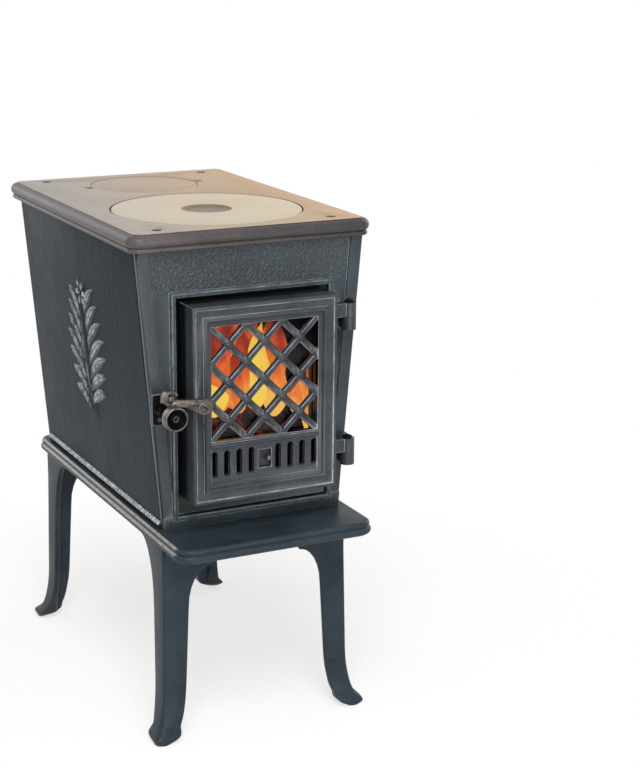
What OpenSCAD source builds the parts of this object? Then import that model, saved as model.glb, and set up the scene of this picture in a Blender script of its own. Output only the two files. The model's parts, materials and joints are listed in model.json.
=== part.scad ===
// Small cast-iron box stove on cabriole legs: one cooking lid, a lattice door and a rear flue collar.
// Millimetres, +Z up. X = 0 is the middle of the width, Y = 0 the middle of the depth, Z = 0 the floor.
// The door faces -Y.

/* [Overall] */
// Floor to the top of the cooking surface
height = 640; // [600:5:760]
// Width over the moulded edge of the top plate
top_w = 320; // [312:2:384]
// Front plate face to rear plate face
body_d = 431; // [360:1:518]
// Width of the body at its foot
foot_w = 240; // [236:2:250]
// Width of the body under the top plate
shoulder_w = 300; // [292:2:304]
// How far the hearth shelf reaches in front of the front plate
shelf = 81; // [67:1:98]
// Overhang of the top plate behind the rear plate
top_back = 26; // [22:1:40]

/* [Castings] */
// Wall of the side, front and rear plates
wall = 6; // [5:0.5:7]
// Height of the legs
leg_h = 254; // [211:1:305]
// Height of the base plate edge
base_t = 18; // [16:1:22]
// Height of the top plate edge
top_t = 22; // [20:1:27]
// Skin of the top plate
top_skin = 10; // [9:0.5:12]
// Skin of the base plate
base_skin = 7; // [6:0.5:9]
// Width over the moulded edge of the base plate
base_w = 264; // [260:2:300]
// Overhang of the base plate behind the rear plate
base_back = 22; // [8:1:24]

/* [Door] */
// Width of the door box
door_w = 191; // [186:1:198]
// Height of the door box
door_h = 244; // [240:1:250]
// Height of the foot of the door above the base plate
door_lift = 40; // [36:1:42]
// Pitch of the lattice crossings
lattice = 47.2; // [46:0.2:48.6]
// Width of a lattice bar at its face
bar_w = 6; // [5:0.5:8]
// Pitch of the air slots
slot_pitch = 16.2; // [16:0.1:16.6]
// The first air slot each side, from the middle of the door
slot_first = 18; // [17:0.5:18.5]
// Width of an air slot
slot_w = 8; // [6.5:0.5:8]
// Height of an air slot
slot_h = 33; // [30:1:35]

/* [Fittings] */
// Radius of the cooking lid
lid_r = 120.5; // [100:0.5:121]
// Bore of the flue collar
flue_bore = 127; // [110:1:128]
// Height of the flue collar's centre below the top
flue_drop = 110; // [106:1:118]
// Radius of a hinge pin
pin_r = 4; // [3.5:0.25:4.5]
// Radius of the latch knob
knob_r = 15; // [13:0.5:15.5]
// Tilt of the latch lever at rest, with its nose just above the keeper
latch_tilt = 10; // [6:1:12]

/* [Hidden] */

$fn = 64;
e = 0.01;            // a cut passes a face by this much
c_seat = 0.3;        // gap between curved faces of different bodies
c_run = 0.08;        // radial clearance of a pin in its eye
c_bolt = 0.3;        // radial clearance of a screw in its hole
c_lid = 1.5;         // gap round the cooking lid

// Levels
z_base = leg_h + base_t;             // top of the base plate, foot of the body
z_top = height - top_t;              // top of the body
body_h = z_top - z_base;
taper = atan((shoulder_w - foot_w) / 2 / body_h);

// Depth
depth = shelf + body_d + top_back;
y_face = -depth / 2 + shelf;         // face of the front plate's corner strips
y_back = y_face + body_d;            // outer face of the rear plate
y_rear = y_back - wall;              // inner face of the rear plate
strip_up = 2;                        // the corner strips stand this far off the panel
y_panel = y_face + strip_up;         // face of the front panel
y_in = y_panel + wall;               // inner face of the front panel

function half_w(z) = foot_w / 2 + (z - z_base) * tan(taper);
function smooth(t) = let (s = min(1, max(0, t))) s * s * (3 - 2 * s);

// Solid of an X-Z outline from y0 back to y1
module slab_y(y0, y1) {
    translate([0, y1, 0]) rotate([90, 0, 0]) linear_extrude(y1 - y0) children();
}

// Round bar along Y from y0 to y1
module rod_y(x, z, y0, y1, r, r2 = undef) {
    translate([x, y0, z]) rotate([-90, 0, 0]) cylinder(h = y1 - y0, r1 = r, r2 = is_undef(r2) ? r : r2);
}

// Box by its two corners
module block(lo, hi) {
    translate(lo) cube(hi - lo);
}

module square_at(x0, y0, x1, y1) {
    translate([x0, y0]) square([x1 - x0, y1 - y0]);
}

// Right and left copies
module pair() {
    children();
    mirror([1, 0, 0]) children();
}

// A slab whose edge is the given half profile, x from 0 at the corner's centre out to r
module moulded_slab(w, d, r, t) {
    translate([r - w / 2, r - d / 2, 0]) cube([w - 2 * r, d - 2 * r, t]);
    for (a = [0, 180]) rotate(a) {
        translate([w / 2 - r, 0, 0]) rotate([90, 0, 0])
            linear_extrude(d - 2 * r, center = true) children();
        translate([0, r - d / 2, 0]) rotate(-90) rotate([90, 0, 0])
            linear_extrude(w - 2 * r, center = true) children();
        translate([w / 2 - r, d / 2 - r, 0]) rotate_extrude(angle = 90) children();
        translate([r - w / 2, d / 2 - r, 0]) rotate(90) rotate_extrude(angle = 90) children();
    }
}

// A mitred frame round a w x h opening in X-Z, its face at y = 0 and standing out to -Y.
// The profile's x runs in from the outer edge and its y runs out from the face.
module mitred_frame(w, h, deep, out) {
    for (turn = [0, 90, 180, 270]) {
        long = turn % 180 == 0 ? w : h;
        far = turn % 180 == 0 ? h : w;
        rotate([0, turn, 0]) translate([0, 0, -far / 2]) intersection() {
            rotate([90, 0, 0]) rotate([90, 0, 90]) linear_extrude(long, center = true) children();
            slab_y(-out - 1, 1) polygon([[-long / 2, 0], [long / 2, 0],
                                         [long / 2 - deep, deep], [deep - long / 2, deep]]);
        }
    }
}

// ---- Base plate and legs ----

base_r = 21;                         // corner radius of the base plate
base_d = shelf + body_d + base_back;
base_y = -depth / 2 + base_d / 2;    // middle of the base plate
base_rim = 20;                       // width of the skirt under the base plate

leg_x = 125;                         // ridge of a leg, from the middle
leg_front_y = y_face - 9;            // ridge of a front leg
leg_rear_y = y_back + 2;             // ridge of a rear leg
leg_wall = 8;
leg_pad = 44;                        // side of the bolting pad in the top of a leg
leg_pad_t = 8;
leg_bolt = 26;                       // bolt from the ridge, both ways
leg_bolt_r = 4;

base_screw = [58, 11];               // screw from the middle, and in from the inner face of the end plate
base_screw_r = 3;

module base_edge() {
    bead = 5;
    lip = 4;
    in = base_r - 2;
    square_at(0, 0, base_r - bead, base_t - lip - e);
    translate([base_r - bead, bead + 1]) circle(bead);
    square_at(0, 1, in - lip, base_t);
    translate([in - lip, base_t - lip]) circle(lip);
}

module at_base_screws() {
    pair() for (y = [y_in + base_screw[1], y_rear - base_screw[1]])
        translate([base_screw[0], y, 0]) children();
}

module base_plate() {
    color("#3b464b") difference() {
        union() {
            translate([0, base_y, leg_h]) difference() {
                moulded_slab(base_w, base_d, base_r, base_t) base_edge();
                translate([base_rim - base_w / 2, base_rim - base_d / 2, -e])
                    cube([base_w - 2 * base_rim, base_d - 2 * base_rim, base_t - base_skin + e]);
            }
            at_legs() block([leg_wall, 1, leg_h], [leg_pad + 8, leg_pad + 8, z_base - 1]);
            at_base_screws() translate([0, 0, leg_h + 4]) cylinder(h = base_t - 5, r = 9);
        }
        at_legs() translate([leg_bolt, leg_bolt, leg_h - e]) cylinder(h = base_t - 4, r = leg_bolt_r + 0.02);
        at_base_screws() translate([0, 0, leg_h]) cylinder(h = base_t + 1, r = base_screw_r + c_bolt);
    }
}

// Places each leg with u running in across the stove and v running in along it
module at_legs() {
    for (i = [0:3]) at_leg(i) children();
}

module at_leg(i) {
    right = i % 2 == 1;
    rear = i > 1;
    mirror([right ? 1 : 0, 0, 0])
        translate([-leg_x, rear ? leg_rear_y : leg_front_y, 0])
        mirror([0, rear ? 1 : 0, 0]) children();
}

// The leg is an angle casting: two wings meet in a ridge at the outer corner. Its width, wall and
// place are smooth functions of the height, so that it swells to a bracket under the plate and
// draws out to a rounded toe at the floor.
knee_u = [78, 32, 28];               // the bracket across: foot and head below the plate, and reach
knee_v = [86, 4, 38];                // the bracket along the side
toe = 17;                            // how far the toe stands out of the ridge, both ways
splay = 4;                           // how far the ridge leans out on the way down
ankle = 90;                          // height at which the toe starts

function rise(z, k) = min(1, max(0, (z - leg_h + k[0]) / (k[0] - k[1])));
function web(z, k) = k[2] * (1 - sqrt(1 - pow(rise(z, k), 2)));
function ogee(z) = 10 * sin(90 * min(1, max(0, 1 - (leg_h - z) / knee_u[1])));
function flare(z) = 5 * pow(max(0, 1 - z / 26), 2);
function heel(z) = 6 * pow(max(0, 1 - z / 34), 2);
function wing_u(z) = 29 + 8 * z / leg_h + web(z, knee_u) + ogee(z) + flare(z) - heel(z);
function wing_v(z) = 28 + 9 * z / leg_h + web(z, knee_v) + flare(z) - heel(z);
function flick(z) = 3 * pow(max(0, 1 - z / 20), 1.2);
function lean(z) = splay * max(0, 1 - z / (leg_h - 40));
function leg_out(z) = toe * pow(max(0, 1 - z / ankle), 3.2) + flick(z) + lean(z);
function toe_bead(z) = z < 11 ? 2 * (1 - pow((z - 5.5) / 5.5, 2)) : 0;
function bun(z) = z < 20 ? 3 * pow(sin(9 * z), 2) : 0;
function leg_fill(z) = smooth(1 - z / 46);
function sole(z) = z < 10 ? 5.5 * pow(1 - z / 10, 2) : 0;

// One level of the leg, drawn round from the end of the cross wing
function leg_ring(z) = let (
        s = sole(z) - bun(z), o = leg_out(z), f = leg_fill(z),
        a = wing_u(z) - s, b = wing_v(z) - s,
        t = leg_wall + f * (min(a, b) - leg_wall - 6),
        r = 4 + 6 * f, end = min(3.6, t / 2 - 0.2) + 5 * f, q = 2 + 2 * f)
    [for (p = concat(
        [for (k = [0:3]) let (w = k * 30) [a - end + end * sin(w), t - end + end * cos(w)]],
        [for (k = [1:3]) let (w = k * 30) [a - end * 0.6 + end * 0.6 * cos(w), s + end * 0.6 * (1 - sin(w))]],
        [for (k = [0:6]) let (w = k * 15, p = toe_bead(z) * pow(sin(2 * w), 3))
            [s - p + r * (1 - sin(w)), s - p + r * (1 - cos(w))]],
        [for (k = [1:3]) let (w = k * 30) [s + end * 0.6 * (1 - cos(w)), b - end * 0.6 + end * 0.6 * sin(w)]],
        [for (k = [0:3]) let (w = k * 30) [t - end + end * sin(w), b - end + end * cos(w)]],
        [for (k = [0:3]) let (w = k * 30) [t + q * (1 - cos(w)), t + q * (1 - sin(w))]]))
     [p[0] - o, p[1] - o, z]];

leg_levels = concat([0, 0.7, 1.8, 3.4, 5.5, 8, 10.5, 13, 16, 19, 23, 28, 33.5, 39, 46, 54, 63, 75, 90],
    [for (k = [1:2]) 90 + k * (leg_h - knee_v[0] - 90) / 3],
    [for (d = [86, 70, 58, 48, 40, 35, 32.6, 32, 27, 21, 15, 10, 6.5, 4.4, 4, 0]) leg_h - d]);

// The ends of the casting: a fan over each wing and a strip round the corner between them
leg_cap = concat([for (j = [0:6]) [24, j, j + 1]],
    [[24, 7, 8], [24, 8, 9], [24, 9, 23], [23, 9, 10], [23, 10, 22],
     [22, 10, 11], [22, 11, 21], [21, 11, 12], [21, 12, 13]],
    [for (j = [13:19]) [21, j, j + 1]]);

module leg_casting() {
    rings = [for (z = leg_levels) leg_ring(z)];
    n = len(rings[0]);
    m = len(rings);
    foot_cap = [for (t = leg_cap) [t[0], t[2], t[1]]];
    head_cap = [for (t = leg_cap) [for (j = t) j + (m - 1) * n]];
    points = [for (ring = rings) for (p = ring) p];
    sides = [for (i = [0:m - 2]) for (j = [0:n - 1])
        let (k = (j + 1) % n) each [[i * n + j, i * n + k, (i + 1) * n + k],
                                    [i * n + j, (i + 1) * n + k, (i + 1) * n + j]]];
    polyhedron(points, concat(sides, foot_cap, head_cap));
}

module leg(i) {
    color("#3b464b") at_leg(i) difference() {
        union() {
            leg_casting();
            block([leg_wall / 2, leg_wall / 2, leg_h - leg_pad_t], [leg_pad, leg_pad, leg_h - c_seat]);
        }
        translate([leg_bolt, leg_bolt, leg_h - 20]) cylinder(h = 30, r = leg_bolt_r + c_bolt);
    }
}

module leg_bolts() {
    head = 5;
    color("#6a6d6e") at_legs() translate([leg_bolt, leg_bolt, leg_h - leg_pad_t]) {
        cylinder(h = leg_pad_t + base_t - 7, r = leg_bolt_r);
        translate([0, 0, -head]) cylinder(h = head, r = 7.5, $fn = 6);
    }
}

module base_screws() {
    head = 4;
    color("#6a6d6e") at_base_screws() {
        translate([0, 0, leg_h + 4 - head]) cylinder(h = head, r = 5.5, $fn = 6);
        translate([0, 0, leg_h + 4]) cylinder(h = base_t - 4 + 12, r = base_screw_r);
    }
}

// ---- Body ----

seam = 2.2;                          // depth and width of the groove at the corner seam
foot_bead = 3;

// Cross-section of the left side plate in X-Z
module side_section() {
    t = wall / cos(taper);
    z_bead = 5;
    difference() {
        union() {
            polygon([[-half_w(z_base), z_base], [t - half_w(z_base), z_base],
                     [t - half_w(z_top), z_top], [-half_w(z_top), z_top]]);
            translate([-half_w(z_base) + 0.4, z_base + z_bead]) circle(foot_bead);
        }
        square_at(-shoulder_w, z_base - 10, shoulder_w, z_base);
    }
}

module side_plate() {
    difference() {
        slab_y(y_in, y_rear) side_section();
        translate([-half_w(z_base), y_in - e, z_base]) rotate([0, -taper, 0])
            block([-1, 0, foot_bead * 3], [seam, seam, body_h * 1.1]);
    }
}

module side_plate_left() {
    color("#3b464b") side_plate();
}

module side_plate_right() {
    color("#3b464b") mirror([1, 0, 0]) side_plate();
}

// Outline of the front and rear plates, drawn in at the sides
module end_outline(in = 0) {
    foot = half_w(z_base) - in;
    head = half_w(z_top) - in;
    polygon([[-foot, z_base], [foot, z_base], [head, z_top], [-head, z_top]]);
}

// Door and the opening it closes
z_door = z_base + door_lift;                 // foot of the door box
door_mid = z_door + door_h / 2;
collar_gap = 6;                              // gap between the door box and the collar, at the sides
collar_w = 6;
collar_up = 7;                               // the collar stands this far off the panel
collar_foot = z_base + 17;                   // foot of the collar's opening, and top of the foot band
collar_head = z_door + door_h + 5;
door_edge = 13;                              // width of the door's rim
rebate = 4;                                  // the seat for the door's gasket lies this far behind the panel
y_seat = y_panel + rebate;
seat_t = 8;
rim_gap = 5;                                 // the door's rim stands this far off its seat
y_rim = y_seat - rim_gap;
mouth_w = door_w / 2 - door_edge;            // half the width of the fire opening

hinge_x = door_w / 2 + 27;
hinge_y = y_face - 17;
hinge_r = 9;
hinge_lug = 17;                              // height of each of a hinge's two lugs
hinge_low = z_door + 19;                     // foot of the lower hinge
hinge_high = z_door + door_h - 51;           // foot of the upper hinge
pin_floor = 3;                               // the pin stands on this much iron

keeper_x = -124;
keeper_z = z_base + 137;                     // foot of the keeper's plate
keeper_w = 16;
keeper_h = 36;
keeper_pad = 3;

top_screw = [115, 12, 1];                    // from the middle, and in from the front and rear plates
top_screw_r = 3;

module end_bosses(y0, y1) {
    pair() {
        block([top_screw[0] - 9, y0, z_top - 22], [top_screw[0] + 9, y1, z_top]);
        block([base_screw[0] - 9, y0, z_base], [base_screw[0] + 9, y1, z_base + 18]);
    }
}

module end_boss_holes() {
    at_top_screws() translate([0, 0, z_top - 16]) cylinder(h = 17, r = top_screw_r + 0.02);
    at_base_screws() translate([0, 0, z_base - 1]) cylinder(h = 15, r = base_screw_r + 0.02);
}

// Rounded strip down the left corner of the front plate, leaning with the side
module corner_strip() {
    strip_w = 17;
    r = 2.5;
    deep = y_in - y_face;
    intersection() {
        translate([-half_w(z_base), y_in, z_base]) rotate([0, -taper, 0])
            translate([0, 0, -10]) linear_extrude(body_h + 20) {
                square_at(0, r - deep, strip_w - 1, 0);
                square_at(r, -deep, strip_w - 1, 0);
                square_at(r, 1 - deep, strip_w, 0);
                translate([r, r - deep]) circle(r);
                translate([strip_w - 1, 1 - deep]) circle(1);
            }
        block([-shoulder_w, y_face - 1, z_base], [0, y_in, z_top]);
    }
}

module hinge_bracket(z) {
    ear_r = 13;
    ear_x = hinge_x - 1;
    slab_y(y_panel - 1.5, y_in) {
        translate([ear_x, z + ear_r - 4]) circle(ear_r);
        translate([ear_x, z + 2 * hinge_lug - ear_r + 4]) circle(ear_r);
        square_at(ear_x - ear_r, z + ear_r - 4, ear_x + ear_r, z + 2 * hinge_lug - ear_r + 4);
    }
    block([hinge_x - 6, hinge_y, z], [hinge_x + 6, y_panel, z + hinge_lug - c_seat]);
    translate([hinge_x, hinge_y, z]) cylinder(h = hinge_lug - c_seat, r = hinge_r);
}

module front_plate() {
    ring_w = door_w / 2 + collar_gap;
    mid = (collar_foot + collar_head) / 2;
    frame_size = [2 * (ring_w + collar_w), collar_head - collar_foot + 2 * collar_w];
    color("#3b464b") difference() {
        union() {
            difference() {
                union() {
                    slab_y(y_panel, y_in) end_outline(6);
                    slab_y(y_face - 2, y_in) intersection() {
                        end_outline(0.7);
                        square_at(-foot_w, z_base, foot_w, collar_foot);
                    }
                }
                block([-ring_w, y_face - 20, collar_foot], [ring_w, y_seat, collar_head]);
            }
            block([-ring_w - 4, y_seat, collar_foot - 4], [ring_w + 4, y_seat + seat_t, collar_head + 4]);
            pair() corner_strip();
            translate([0, y_panel, mid]) mitred_frame(frame_size[0], frame_size[1], collar_w, collar_up) {
                square_at(0, -e, collar_w, collar_up - 2);
                square_at(1, -e, collar_w - 1, collar_up - 1);
                translate([collar_w / 2, collar_up - 1.8]) circle(1.8);
            }
            end_bosses(y_in - 1, y_in + 23);
            for (z = [hinge_low, hinge_high]) hinge_bracket(z);
            slab_y(y_panel - keeper_pad, y_in) translate([keeper_x, keeper_z])
                square_at(-keeper_w / 2 - 1, -1, keeper_w / 2 + 1, keeper_h + 1);
        }
        block([-mouth_w, y_face - 30, z_door + door_edge], [mouth_w, y_in + 30, z_door + door_h - door_edge]);
        end_boss_holes();
        for (z = [hinge_low, hinge_high])
            translate([hinge_x, hinge_y, z + pin_floor]) cylinder(h = hinge_lug, r = pin_r + 0.02);
        rod_y(keeper_x, keeper_z + 7, y_panel - keeper_pad - 1, y_in + 1, 2.52);
    }
}

flue_z = height - flue_drop;
flue_r = flue_bore / 2;
collar_wall = 5.5;
flange_r = 84;
flange_t = 6;
flange_bolts = 76;                           // radius of the bolt circle
flange_bolt_r = 3;

module at_collar_bolts() {
    for (a = [45:90:315])
        translate([flange_bolts * cos(a), y_back, flue_z + flange_bolts * sin(a)])
            rotate([-90, 0, 0]) children();
}

module rear_plate() {
    color("#3b464b") difference() {
        union() {
            slab_y(y_rear, y_back) end_outline();
            end_bosses(y_rear - 23, y_rear + 1);
        }
        rod_y(0, flue_z, y_rear - 1, y_back + 1, flue_r - 3);
        end_boss_holes();
        at_collar_bolts() translate([0, 0, -wall - 1]) cylinder(h = wall + 2, r = flange_bolt_r + 0.02);
    }
}

module flue_collar() {
    lip = 4;                                 // the pipe stops against this lip
    color("#3b464b") difference() {
        union() {
            rod_y(0, flue_z, y_back, y_back + flange_t, flange_r);
            rod_y(0, flue_z, y_back, y_back + top_back, flue_r + collar_wall);
        }
        rod_y(0, flue_z, y_back + lip, y_back + top_back + 1, flue_r);
        rod_y(0, flue_z, y_back - 1, y_back + top_back, flue_r - 3);
        at_collar_bolts() translate([0, 0, -1]) cylinder(h = flange_t + 2, r = flange_bolt_r + c_bolt);
    }
}

module collar_bolts() {
    color("#6a6d6e") at_collar_bolts() {
        translate([0, 0, flange_t]) cylinder(h = 4, r = 5.5, $fn = 6);
        translate([0, 0, -wall]) cylinder(h = wall + flange_t, r = flange_bolt_r);
    }
}

// ---- Top plate ----

top_r = 18;                                  // corner radius of the top plate
top_d = body_d + top_back + 10;
top_y = depth / 2 - top_d / 2;
rim_in = 3;                                  // the skirt reaches this far inside the body's walls
lid_y = y_face + 138;
lid_t = 6;
lid_ledge = 9;
outlet_y = y_back - 79;
outlet_r = 72;
outlet_ear = 12;
outlet_screw = outlet_r + 6;
outlet_screw_r = 2.5;
lug_w = 14;

module top_edge() {
    ovolo = 8;                               // round of the edge, a step below the flat top
    bead = 3;                                // small bead under it
    step = 1.2;
    square_at(0, 0, top_r - ovolo - 0.6, top_t);
    translate([top_r - ovolo, top_t - step - ovolo]) circle(ovolo);
    square_at(0, 0, top_r - 2 - bead, 2 * bead);
    translate([top_r - 2 - bead, bead]) circle(bead);
}

module at_top_screws() {
    pair() for (y = [y_in + top_screw[1], y_rear - top_screw[2]])
        translate([top_screw[0], y, 0]) children();
}

module outlet_outline(gap) {
    circle(outlet_r + gap);
    square_at(-outlet_r - outlet_ear - gap, -lug_w / 2 - gap, outlet_r + outlet_ear + gap, lug_w / 2 + gap);
}

module at_outlet_screws() {
    pair() translate([outlet_screw, outlet_y, 0]) children();
}

module top_plate() {
    inner_w = shoulder_w / 2 - wall - rim_in;
    color("#b3a797") difference() {
        union() {
            difference() {
                translate([0, top_y, z_top]) moulded_slab(top_w, top_d, top_r, top_t) top_edge();
                block([-inner_w, y_in + rim_in, z_top - e], [inner_w, y_rear - rim_in, height - top_skin]);
            }
            at_top_screws() translate([0, 0, z_top]) cylinder(h = top_t - 1, r = 10);
        }
        translate([0, lid_y, 0]) {
            translate([0, 0, height - lid_t]) cylinder(h = lid_t + 1, r = lid_r + c_lid);
            translate([0, 0, height - top_skin - 1]) cylinder(h = top_skin, r = lid_r - lid_ledge);
        }
        translate([0, outlet_y, 0]) {
            translate([0, 0, height - lid_t]) linear_extrude(lid_t + 1) outlet_outline(0.5);
            translate([0, 0, height - top_skin - 1]) cylinder(h = top_skin, r = outlet_r - 10);
        }
        at_outlet_screws() translate([0, 0, height - top_skin - 1])
            cylinder(h = top_skin, r = outlet_screw_r + 0.02);
        at_top_screws() {
            translate([0, 0, z_top - 1]) cylinder(h = top_t + 2, r = top_screw_r + c_bolt);
            translate([0, 0, height - 4.5]) cylinder(h = 4.5 + e, r1 = top_screw_r + c_bolt, r2 = 6.3);
        }
    }
}

// Slotted countersunk screw with its face at z = 0
module countersunk(r, head_r, head, length) {
    difference() {
        union() {
            translate([0, 0, -head]) cylinder(h = head, r1 = r, r2 = head_r);
            translate([0, 0, -length]) cylinder(h = length, r = r);
        }
        translate([-head_r - 1, -0.8, -1.4]) cube([2 * head_r + 2, 1.6, 2]);
    }
}

module top_screws() {
    color("#8a8379") at_top_screws() translate([0, 0, height - 0.2])
        countersunk(top_screw_r, 5.8, 4, top_t + 14);
}

module cooking_lid() {
    recess_r = 32;
    plug = 4;
    color("#c3b9a5") translate([0, lid_y, height]) difference() {
        union() {
            translate([0, 0, -lid_t]) cylinder(h = lid_t - 1, r = lid_r);
            translate([0, 0, -1]) cylinder(h = 1, r1 = lid_r, r2 = lid_r - 1);
            translate([0, 0, -lid_t - plug]) cylinder(h = plug, r = lid_r - lid_ledge - 1.5);
        }
        translate([0, 0, -3]) cylinder(h = 4, r1 = recess_r - 1.5, r2 = recess_r + 0.5);
        translate([0, 0, -lid_t - plug - 1]) cylinder(h = plug, r = lid_r - lid_ledge - 9);
    }
}

module outlet_cover() {
    color("#b3a797") translate([0, outlet_y, height]) difference() {
        union() {
            translate([0, 0, -lid_t]) linear_extrude(lid_t - 0.4) outlet_outline(0);
            translate([0, 0, -lid_t - 6]) cylinder(h = 7, r = outlet_r - 11);
        }
        translate([0, 0, -lid_t - 7]) cylinder(h = 7, r = outlet_r - 17);
        pair() translate([outlet_screw, 0, -lid_t - 1]) {
            cylinder(h = lid_t + 2, r = outlet_screw_r + c_bolt);
            translate([0, 0, lid_t + 0.6 - 3]) cylinder(h = 3 + e, r1 = outlet_screw_r + c_bolt, r2 = 5.2);
        }
    }
}

module outlet_cover_screws() {
    color("#4b4843") at_outlet_screws() translate([0, 0, height - 0.7])
        countersunk(outlet_screw_r, 4.8, 2.4, top_skin + 3);
}

// ---- Inside the firebox ----

fire_gap = 4;                                // gap between a burn plate and the side plate
burn_t = 8;
fire_z = z_base + 14;                        // top of the fire bottom
baffle_z = flue_z - flue_r - 10.5;           // underside of the baffle
fire_y0 = y_in + 25;
fire_y1 = y_rear - 24;

module fire_bottom() {
    half = half_w(z_base) - wall - fire_gap;
    color("#4a4644") {
        block([-half, fire_y0, fire_z - 8], [half, fire_y1, fire_z]);
        pair() for (y = [fire_y0 + 20, fire_y1 - 40])
            block([half - 40, y, z_base], [half - 20, y + 20, fire_z - 8]);
    }
}

// Ribbed lining that leans against the left side
module burn_plate() {
    rib = 10;
    ribs = 9;
    pitch = (fire_y1 - burn_t - fire_y0 - 8) / ribs;
    x = -half_w(fire_z) + wall / cos(taper) + fire_gap;
    intersection() {
        translate([x, 0, fire_z]) rotate([0, -taper, 0]) {
            block([0, fire_y0 + 8, -5], [burn_t - 3, fire_y1 - burn_t - 1, 300]);
            for (i = [0:ribs - 1])
                block([0, fire_y0 + 8 + (i + 0.5) * pitch - rib / 2, -5],
                      [burn_t, fire_y0 + 8 + (i + 0.5) * pitch + rib / 2, 300]);
        }
        block([-shoulder_w, fire_y0, fire_z], [0, fire_y1, baffle_z]);
    }
}

module burn_plate_left() {
    color("#3a3634") burn_plate();
}

module burn_plate_right() {
    color("#3a3634") mirror([1, 0, 0]) burn_plate();
}

module burn_plate_rear() {
    half = half_w(fire_z) - wall - fire_gap - burn_t - 2;
    color("#3a3634") block([-half, fire_y1 - burn_t, fire_z], [half, fire_y1, baffle_z]);
}

module baffle_plate() {
    half = half_w(baffle_z) - wall - fire_gap - 2;
    front = fire_y0 + 62;
    color("#3a3634") {
        block([-half, front, baffle_z], [half, fire_y1, baffle_z + 8]);
        block([-half, front, baffle_z + 8], [half, front + 8, baffle_z + 14]);
    }
}

module log_retainer() {
    half = mouth_w - 2;
    tall = 26;
    color("#3a3634") difference() {
        block([-half, fire_y0, fire_z], [half, fire_y0 + 7, fire_z + tall]);
        for (x = [-60:24:60]) slab_y(fire_y0 - 1, fire_y0 + 8) {
            square_at(x - 4, fire_z + 8, x + 4, fire_z + tall - 10);
            translate([x, fire_z + tall - 10]) circle(4);
        }
    }
}

log_r = 30;
log_l = 320;
log_x = 12;                                  // the stack lies this far to the right

// Three logs below, and two shorter ones in the hollows between them
module firewood() {
    low = fire_z + log_r + c_seat;
    y0 = fire_y0 + 14;
    step = log_r + c_seat;
    rise = sqrt(pow(2 * log_r + c_seat, 2) - pow(step, 2));
    color("#6b4a33") {
        for (x = [-2 * step, 0, 2 * step]) rod_y(log_x + x, low, y0, y0 + log_l, log_r);
        rod_y(log_x - step, low + rise, y0 + 4, y0 + 264, log_r);
        rod_y(log_x + step, low + rise, y0 + 14, y0 + 294, log_r);
    }
}

// ---- Door ----

y_plate = y_rim - 37;                        // face of the door's plate, under the moulding
plate_t = 7;
y_lattice = y_plate + 1;                     // face of the lattice
y_glaze = y_plate + plate_t;                 // back of the door's plate
frame_w = (door_w - 3 * lattice) / 2;        // width of the moulded frame
frame_up = 4;
window_top = z_door + door_h - 26;
window_foot = window_top - 3 * lattice;
slot_z = window_foot - 29;                   // middle of the air slots
knob_window = [17, 23];
groove = 7;                                  // width of the gasket's groove
latch_x = -door_w / 2 + 8.5;
latch_z = z_door + 126.8;
latch_boss_r = 8.5;
y_boss = y_plate - 6.5;                      // face of the boss under the latch
pivot_r = 4;

guide_z = slot_h / 2 + 3;                    // half the height of the air slide
guide_web = 3.2;
slide_t = 2;
slide_gap = 0.3;
slide_travel = slot_pitch / 2;

glass_t = 4;
glass_lap = 7;
tape_t = 2;                                  // thickness of the tape under the glass
glass_w = 3 * lattice / 2 + glass_lap;
glass_z0 = slot_z + guide_z + slide_gap + guide_web + 0.4;
glass_z1 = window_top + glass_lap;
y_glass = y_glaze + tape_t;
clip_x = glass_w + 6;
clip_z = [window_foot + 12, window_top - 10];
clip_r = 2;

// Moulding of the door frame: a raised outer strip, a flat, a bead and a cove down to the lattice
module door_moulding() {
    bead = 2.8;
    rib = frame_w - 8;                       // middle of the bead
    square_at(0, -e, rib, 1.5);
    square_at(1.5, -e, 4.4, 3);
    translate([1.5, 1.5]) circle(1.5);
    square_at(4, -e, rib, 2.2);
    difference() {
        square_at(rib - 2, -e, frame_w - 0.6, frame_up - 0.6);
        translate([frame_w - 0.6, frame_up + 1]) circle(frame_w - 0.6 - rib - bead + 0.4);
    }
    translate([rib, frame_up - 1.2]) circle(bead);
}

// The bars that lean one way stand a little behind the others, and the studs over the crossings
// a little in front of both
module lattice_bars() {
    mid = (window_foot + window_top) / 2;
    foot = 1.7;
    deep = y_glaze - y_lattice - 0.8;
    stud = bar_w * 0.95;
    translate([0, y_lattice, mid]) {
        for (lean = [1, -1]) for (i = [-2:2]) {
            half = (3 - abs(i)) * lattice / sqrt(2) + 6;
            y0 = lean > 0 ? 0 : 0.25;
            y1 = lean > 0 ? deep : deep - 0.25;
            rotate([0, 45 * lean, 0]) translate([i * lattice / sqrt(2), 0, -half]) linear_extrude(2 * half)
                polygon([[-bar_w / 2, y0], [bar_w / 2, y0], [bar_w / 2 + foot, y1], [-bar_w / 2 - foot, y1]]);
        }
        for (i = [-3:3]) for (j = [-3:3]) if ((i + j) % 2 == 0 && abs(i) + abs(j) < 6)
            rod_y(i * lattice / 2, j * lattice / 2, -0.5, deep + 0.3, stud, stud + foot);
    }
}

// The slots in the door's plate, or in the slide behind it
module slots() {
    for (i = [1:4]) for (side = [-1, 1]) translate([side * (slot_first + (i - 1) * slot_pitch), slot_z]) {
        square_at(-slot_w / 2, slot_w / 2 - slot_h / 2, slot_w / 2, slot_h / 2 - slot_w / 2);
        for (end = [-1, 1]) translate([0, end * (slot_h - slot_w) / 2]) circle(slot_w / 2);
    }
}

module door_arm(z) {
    block([door_w / 2 - 2, hinge_y - 6, z], [hinge_x, hinge_y + 6, z + hinge_lug]);
    translate([hinge_x, hinge_y, z]) cylinder(h = hinge_lug, r = hinge_r);
}

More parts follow.
